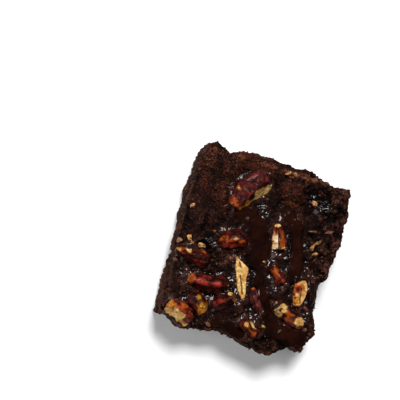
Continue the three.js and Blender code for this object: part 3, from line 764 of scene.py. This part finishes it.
def small_lumps(name, places, sizes, turns, detail, seed, knob, chips, **layers):
    """Many knobbly lumps as one mesh: places and sizes in millimetres, turns in radians.

    detail is how often the ball they start from is divided, knob how deep the knobs are as a share
    of its radius, and chips how many flat faces each lump is broken on.
    """
    bpy.ops.mesh.primitive_ico_sphere_add(subdivisions=detail, radius=1)
    source = bpy.context.object
    unit = np.array([v.co for v in source.data.vertices])
    shape = np.array([p.vertices[:] for p in source.data.polygons])
    bpy.data.objects.remove(source)
    count = len(places)
    own = np.repeat(np.arange(count) * 7.7 + seed, len(unit))[:, None]
    body = np.tile(unit, (count, 1))
    body = body * (1 + knob * layered(body + own, 0.8, 2))[:, None]
    rng = np.random.default_rng(SEED + seed)
    for _ in range(chips):
        plane = rng.normal(size=(count, 3)) * (1, 1, 0.45)
        plane = np.repeat(plane / np.linalg.norm(plane, axis=1)[:, None], len(unit), axis=0)
        past = np.sum(body * plane, axis=1) - np.repeat(rng.uniform(0.45, 0.9, count), len(unit))
        body = body - np.maximum(past, 0)[:, None] * plane
    body = body * np.repeat(sizes / 2, len(unit), axis=0)
    cos, sin = (np.repeat(f(turns), len(unit)) for f in (np.cos, np.sin))
    x, y, z = body.T
    body = np.stack([x * cos - y * sin, x * sin + y * cos, z], axis=1)
    points = body + np.repeat(places, len(unit), axis=0)
    faces = (shape[None] + (np.arange(count) * len(unit))[:, None, None]).reshape(-1, 3).tolist()
    spread = {layer: np.repeat(values, len(unit)) for layer, values in layers.items()}
    return mesh_object(name, points, faces, **spread)


def make_nut_crumbs():
    """The small crumbs of pecan on the cake."""
    table = np.array(NUT_CRUMBS, float)
    heights = top_height(table[:, 0], table[:, 1]) + CRUMB_RISE
    places = np.stack([table[:, 0], table[:, 1], heights], axis=1)
    piece = small_lumps(
        "nut_crumbs", places, table[:, 2:5], np.radians(table[:, 5]), detail=4, seed=3, knob=0.4,
        chips=6, tone=table[:, 6],
    )
    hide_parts("cake")
    return piece


def make_cake_crumbs(points, zones):
    """Loose crumbs of cake, thickest on the rough parts and none on the fudge."""
    rng = np.random.default_rng(SEED)
    x, y, z = points.T
    weight = (0.25 + zones["rough"] + 0.5 * zones["dry"]) * (1 - zones["glaze"])
    weight = weight * (nut_clearance(x, y) > CRUMB_CLEARANCE)
    weight = weight * (z > CRUMB_LOWEST) * (1 - 0.6 * zones["wet"])
    chosen = rng.choice(len(points), CRUMB_COUNT, replace=False, p=weight / weight.sum())
    size = CRUMB_LEAST + CRUMB_SPREAD * rng.random(CRUMB_COUNT) ** 3
    sizes = size[:, None] * rng.uniform(0.7, 1.2, (CRUMB_COUNT, 3))
    turns = rng.uniform(0, 2 * math.pi, CRUMB_COUNT)
    piece = small_lumps(
        "cake_crumbs", points[chosen], sizes, turns, detail=1, seed=40, knob=0.32, chips=3,
        tone=rng.random(CRUMB_COUNT),
    )
    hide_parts("cake")
    return piece


def tone(red, green, blue):
    """The linear colour of display values from 0 to 255."""
    return tuple((c / 255 / 12.92 if c < 10.3 else ((c / 255 + 0.055) / 1.055) ** 2.4)
                 for c in (red, green, blue))


# The strength of the fine bumps, the same for every material
BUMP_STRENGTH = 0.6


class Shader:
    """A principled material and short calls that add its nodes. Sizes are in millimetres."""

    def __init__(self, name):
        self.material = bpy.data.materials.new(name)
        self.material.use_nodes = True
        self.tree = self.material.node_tree
        self.surface = self.tree.nodes["Principled BSDF"]
        self.place = self.tree.nodes.new("ShaderNodeTexCoord").outputs["Object"]

    def link(self, value, socket):
        """Sets a socket to a number or colour, or joins another node's output to it."""
        if isinstance(value, bpy.types.NodeSocket):
            self.tree.links.new(value, socket)
        else:
            socket.default_value = value

    def layer(self, name):
        """The number that the mesh holds at each point for a layer."""
        node = self.tree.nodes.new("ShaderNodeAttribute")
        node.attribute_name = name
        return node.outputs["Fac"]

    def noise(self, size, detail):
        node = self.tree.nodes.new("ShaderNodeTexNoise")
        node.inputs["Scale"].default_value = 1 / (size * MM)
        node.inputs["Detail"].default_value = detail
        self.tree.links.new(self.place, node.inputs["Vector"])
        return node.outputs["Fac"]

    def span(self, value, low, high, to_low=0.0, to_high=1.0):
        """A smooth step from to_low, where the value is low, to to_high, where it is high."""
        node = self.tree.nodes.new("ShaderNodeMapRange")
        node.interpolation_type = "SMOOTHSTEP"
        ends = {"From Min": low, "From Max": high, "To Min": to_low, "To Max": to_high}
        for name, number in ends.items():
            node.inputs[name].default_value = number
        self.link(value, node.inputs["Value"])
        return node.outputs["Result"]

    def combine(self, operation, a, b):
        node = self.tree.nodes.new("ShaderNodeMath")
        node.operation = operation
        self.link(a, node.inputs[0])
        self.link(b, node.inputs[1])
        return node.outputs[0]

    def mix(self, share, a, b):
        node = self.tree.nodes.new("ShaderNodeMix")
        node.data_type = "RGBA"
        self.link(share, node.inputs["Factor"])
        self.link(colour(a), node.inputs["A"])
        self.link(colour(b), node.inputs["B"])
        return node.outputs["Result"]

    def bump(self, height, depth):
        node = self.tree.nodes.new("ShaderNodeBump")
        node.inputs["Strength"].default_value = BUMP_STRENGTH
        node.inputs["Distance"].default_value = depth * MM
        self.link(height, node.inputs["Height"])
        self.tree.links.new(node.outputs["Normal"], self.surface.inputs["Normal"])

    def finish(self, base, roughness, **fixed):
        """The material, with its colour, its roughness and other sockets set to one number."""
        self.link(base, self.surface.inputs["Base Color"])
        self.link(roughness, self.surface.inputs["Roughness"])
        for name, value in fixed.items():
            self.surface.inputs[name.replace("_", " ")].default_value = value
        return self.material


def colour(value):
    """A colour socket, or red, green and blue with full opacity."""
    return value if isinstance(value, bpy.types.NodeSocket) else (*value, 1.0)


# The cake's surfaces, each painted over those before it by the layer of its name: how fully, the
# lift at which it is darkest and the one at which it is lightest, and those two tones. The lift
# follows the relief, so each pair of tones puts painted shade in the pits and painted light on the
# high points.
CAKE_PAINTS = [
    ("dry", 1, 0.36, 1.0, tone(4, 2, 1), tone(66, 31, 20)),
    ("crust", 0.75, 0.32, 0.95, tone(12, 5, 3), tone(110, 61, 40)),
    ("wall", 1, 0.1, 1.1, tone(10, 5, 3), tone(64, 36, 25)),
    ("wet", 0.85, 0.3, 0.95, tone(2, 1, 1), tone(28, 10, 7)),
]


def cake_material():
    """Chocolate crumb by zone, with painted shade in the pits of the relief and painted light on
    its high points, and glaze where the zones are wet.
    """
    s = Shader("chocolate_cake")
    speck = s.noise(0.5, 4)
    blotch = s.noise(7.0, 3)
    # Painted shade and light: lift is the relief layer with random specks, so the crumb goes near
    # black in the pits and pale on the high points
    lift = s.combine("ADD", s.layer("cavity"), s.span(speck, 0.3, 0.7, -0.3, 0.3))
    base = s.mix(s.span(lift, 0.3, 0.85), tone(2, 1, 1), tone(33, 15, 10))
    base = s.mix(s.span(lift, 0.78, 1.1), base, tone(76, 45, 35))
    for layer, share, low, high, dark, light in CAKE_PAINTS:
        paint = s.mix(s.span(lift, low, high), dark, light)
        base = s.mix(s.combine("MULTIPLY", s.layer(layer), share), base, paint)
    fudge = s.mix(s.span(blotch, 0.3, 0.7), tone(12, 2, 1), tone(30, 7, 2))
    base = s.mix(s.layer("glaze"), base, fudge)
    shine = s.combine("MAXIMUM", s.layer("wet"), s.combine("MULTIPLY", s.layer("glaze"), 0.22))
    shine = s.combine("ADD", shine, s.span(blotch, 0.3, 0.7, -0.25, 0.15))
    s.link(s.span(shine, 0.1, 0.9, 0.0, 0.5), s.surface.inputs["Coat Weight"])
    s.bump(s.noise(0.45, 3), 0.14)
    return s.finish(base, 0.75, Specular_IOR_Level=0.03, Coat_Roughness=0.13)


def pecan_material(name, dark, middle, light):
    """Wrinkled skin in three tones, with painted shade in its creases and painted light on its
    ridges, under the marks of toasted and bare flesh, which get the same on their crumbly relief,
    and of chocolate, which also stands for painted shade in the slits.
    """
    s = Shader(name)
    streak = s.noise(2.2, 4)
    # Painted shade and light: the fold layer puts the dark tone in the creases of the wrinkles and
    # folds and the light tone on their ridges
    share = s.combine("ADD", s.layer("fold"), s.span(streak, 0.3, 0.7, -0.16, 0.16))
    skin = s.mix(s.span(share, 0.2, 0.65), dark, middle)
    skin = s.mix(s.span(share, 0.5, 1.05), skin, light)
    # Painted shade and light: the flesh's tones follow grain, so its crevices are darker and its
    # high points lighter
    grain = s.combine("ADD", s.layer("grain"), s.span(s.noise(0.9, 4), 0.3, 0.7, -0.22, 0.22))
    broad = s.noise(3.0, 3)
    cream = s.mix(s.span(grain, 0.1, 0.5), tone(138, 82, 28), tone(176, 136, 76))
    cream = s.mix(s.span(grain, 0.5, 0.9), cream, tone(208, 174, 114))
    cream = s.mix(s.span(broad, 0.52, 0.78), cream, tone(156, 94, 28))
    cream = s.mix(s.span(grain, 0.9, 1.25), cream, tone(232, 208, 176))
    toast = s.mix(s.span(grain, 0.1, 0.85), tone(86, 26, 8), tone(154, 72, 22))
    base = s.mix(s.combine("MULTIPLY", s.layer("amber"), 0.9), skin, toast)
    honey = s.mix(s.span(grain, 0.2, 0.8), tone(118, 58, 8), tone(170, 112, 30))
    base = s.mix(s.combine("MULTIPLY", s.layer("gold"), 0.9), base, honey)
    base = s.mix(s.layer("flesh"), base, cream)
    # The dark layer is chocolate, and also painted shade along the slits
    base = s.mix(s.span(s.layer("dark"), 0.0, 0.5, 0.0, 0.75), base, tone(62, 22, 9))
    base = s.mix(s.span(s.layer("dark"), 0.3, 1.0, 0.0, 0.95), base, tone(14, 5, 3))
    rough = s.span(s.layer("flesh"), 0, 1, 0.46, 0.6)
    coat = s.span(s.layer("flesh"), 0, 1, 0.06, 0.02)
    s.link(coat, s.surface.inputs["Coat Weight"])
    s.bump(s.noise(0.4, 3), 0.1)
    return s.finish(base, rough, Specular_IOR_Level=0.05, Coat_Roughness=0.14)


def nut_crumb_material():
    """Chopped pecan, red or pale by the tone of each crumb, with specks of chocolate."""
    s = Shader("nut_crumb")
    grain = s.noise(0.8, 4)
    pale = s.mix(s.span(grain, 0.35, 0.65), tone(118, 66, 26), tone(190, 146, 84))
    red = s.mix(s.span(grain, 0.3, 0.7), tone(50, 18, 10), tone(112, 58, 34))
    base = s.mix(s.span(s.layer("tone"), 0.25, 0.75), red, pale)
    base = s.mix(s.span(s.noise(1.1, 3), 0.55, 0.68), base, tone(44, 16, 8))
    s.bump(s.noise(0.35, 3), 0.1)
    return s.finish(base, 0.5, Specular_IOR_Level=0.25, Coat_Weight=0.2, Coat_Roughness=0.2)


def cake_crumb_material():
    """Bare crumb, darker or lighter by the tone of each one."""
    s = Shader("cake_crumb")
    grain = s.noise(0.5, 3)
    shade = s.combine("ADD", s.layer("tone"), s.span(grain, 0.3, 0.7, -0.3, 0.3))
    base = s.mix(s.span(shade, 0.1, 1.1), tone(13, 6, 4), tone(76, 43, 32))
    s.bump(grain, 0.1)
    return s.finish(base, 0.65, Specular_IOR_Level=0.12)


# The dark, middle and light tones of each kind of pecan skin
SKINS = {
    "ruby": (tone(20, 4, 3), tone(58, 12, 8), tone(122, 36, 26)),
    "russet": (tone(34, 8, 4), tone(94, 26, 14), tone(148, 62, 38)),
    "amber": (tone(60, 12, 4), tone(134, 50, 18), tone(184, 98, 50)),
    "plum": (tone(22, 6, 6), tone(66, 23, 20), tone(116, 60, 52)),
}


def make_camera():
    """The camera, aimed at its target from a bearing and a height, and rolled."""
    azimuth, elevation, roll = map(math.radians, (CAMERA_AZIMUTH, CAMERA_ELEVATION, CAMERA_ROLL))
    back = Vector((
        math.sin(azimuth) * math.cos(elevation),
        -math.cos(azimuth) * math.cos(elevation),
        math.sin(elevation),
    ))
    right = Vector((math.cos(azimuth), math.sin(azimuth), 0))
    up = back.cross(right)
    across = right * math.cos(roll) + up * math.sin(roll)
    upward = up * math.cos(roll) - right * math.sin(roll)
    data = bpy.data.cameras.new("camera")
    data.lens = CAMERA_LENS
    data.sensor_width = CAMERA_SENSOR
    data.clip_start = 0.01
    camera = bpy.data.objects.new("camera", data)
    bpy.context.scene.collection.objects.link(camera)
    place = Matrix((across, upward, back)).transposed().to_4x4()
    place.translation = (Vector(CAMERA_TARGET) + back * CAMERA_DISTANCE) * MM
    camera.matrix_world = place
    bpy.context.scene.camera = camera


def make_light(name, direction, distance, size, power):
    """A square soft light that faces the middle of the cake."""
    data = bpy.data.lights.new(name, "AREA")
    data.size = size
    data.energy = power
    light = bpy.data.objects.new(name, data)
    bpy.context.scene.collection.objects.link(light)
    toward = Vector(direction).normalized()
    light.location = toward * distance
    light.rotation_mode = "QUATERNION"
    light.rotation_quaternion = toward.to_track_quat("Z", "Y")


def make_studio():
    """The lights, the white sky and the plain pale floor."""
    make_light("key", **KEY_LIGHT)
    make_light("fill", **FILL_LIGHT)
    world = bpy.data.worlds.new("studio")
    world.use_nodes = True
    sky = world.node_tree.nodes["Background"]
    sky.inputs["Color"].default_value = (1, 1, 1, 1)
    sky.inputs["Strength"].default_value = SKY_STRENGTH
    bpy.context.scene.world = world
    s = Shader("floor")
    base = s.mix(s.span(s.noise(60, 2), 0.3, 0.7), FLOOR_DARK, FLOOR_LIGHT)
    signs = [(-1, -1), (1, -1), (1, 1), (-1, 1)]
    corners = [(x * FLOOR_HALF, y * FLOOR_HALF, FLOOR_LEVEL) for x, y in signs]
    floor = mesh_object("floor", corners, [(0, 1, 2, 3)])
    floor.data.materials.append(s.finish(base, 0.7))


def dress(piece, material):
    """Gives a piece its material and slot, and sets it on the part's one body."""
    piece.data.materials.append(material)
    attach(piece, "root")


def build():
    """The whole scene: camera, studio and every piece of the brownie."""
    bpy.context.scene.view_settings.view_transform = "Standard"
    make_camera()
    make_studio()
    cake, points, zones = make_cake()
    dress(cake, cake_material())
    dress(make_cake_crumbs(points, zones), cake_crumb_material())
    dress(make_nut_crumbs(), nut_crumb_material())
    skins = {name: pecan_material("pecan_" + name, *tones) for name, tones in SKINS.items()}
    for name, pecan in PECANS.items():
        dress(make_pecan(name, pecan), skins[pecan["skin"]])


build()
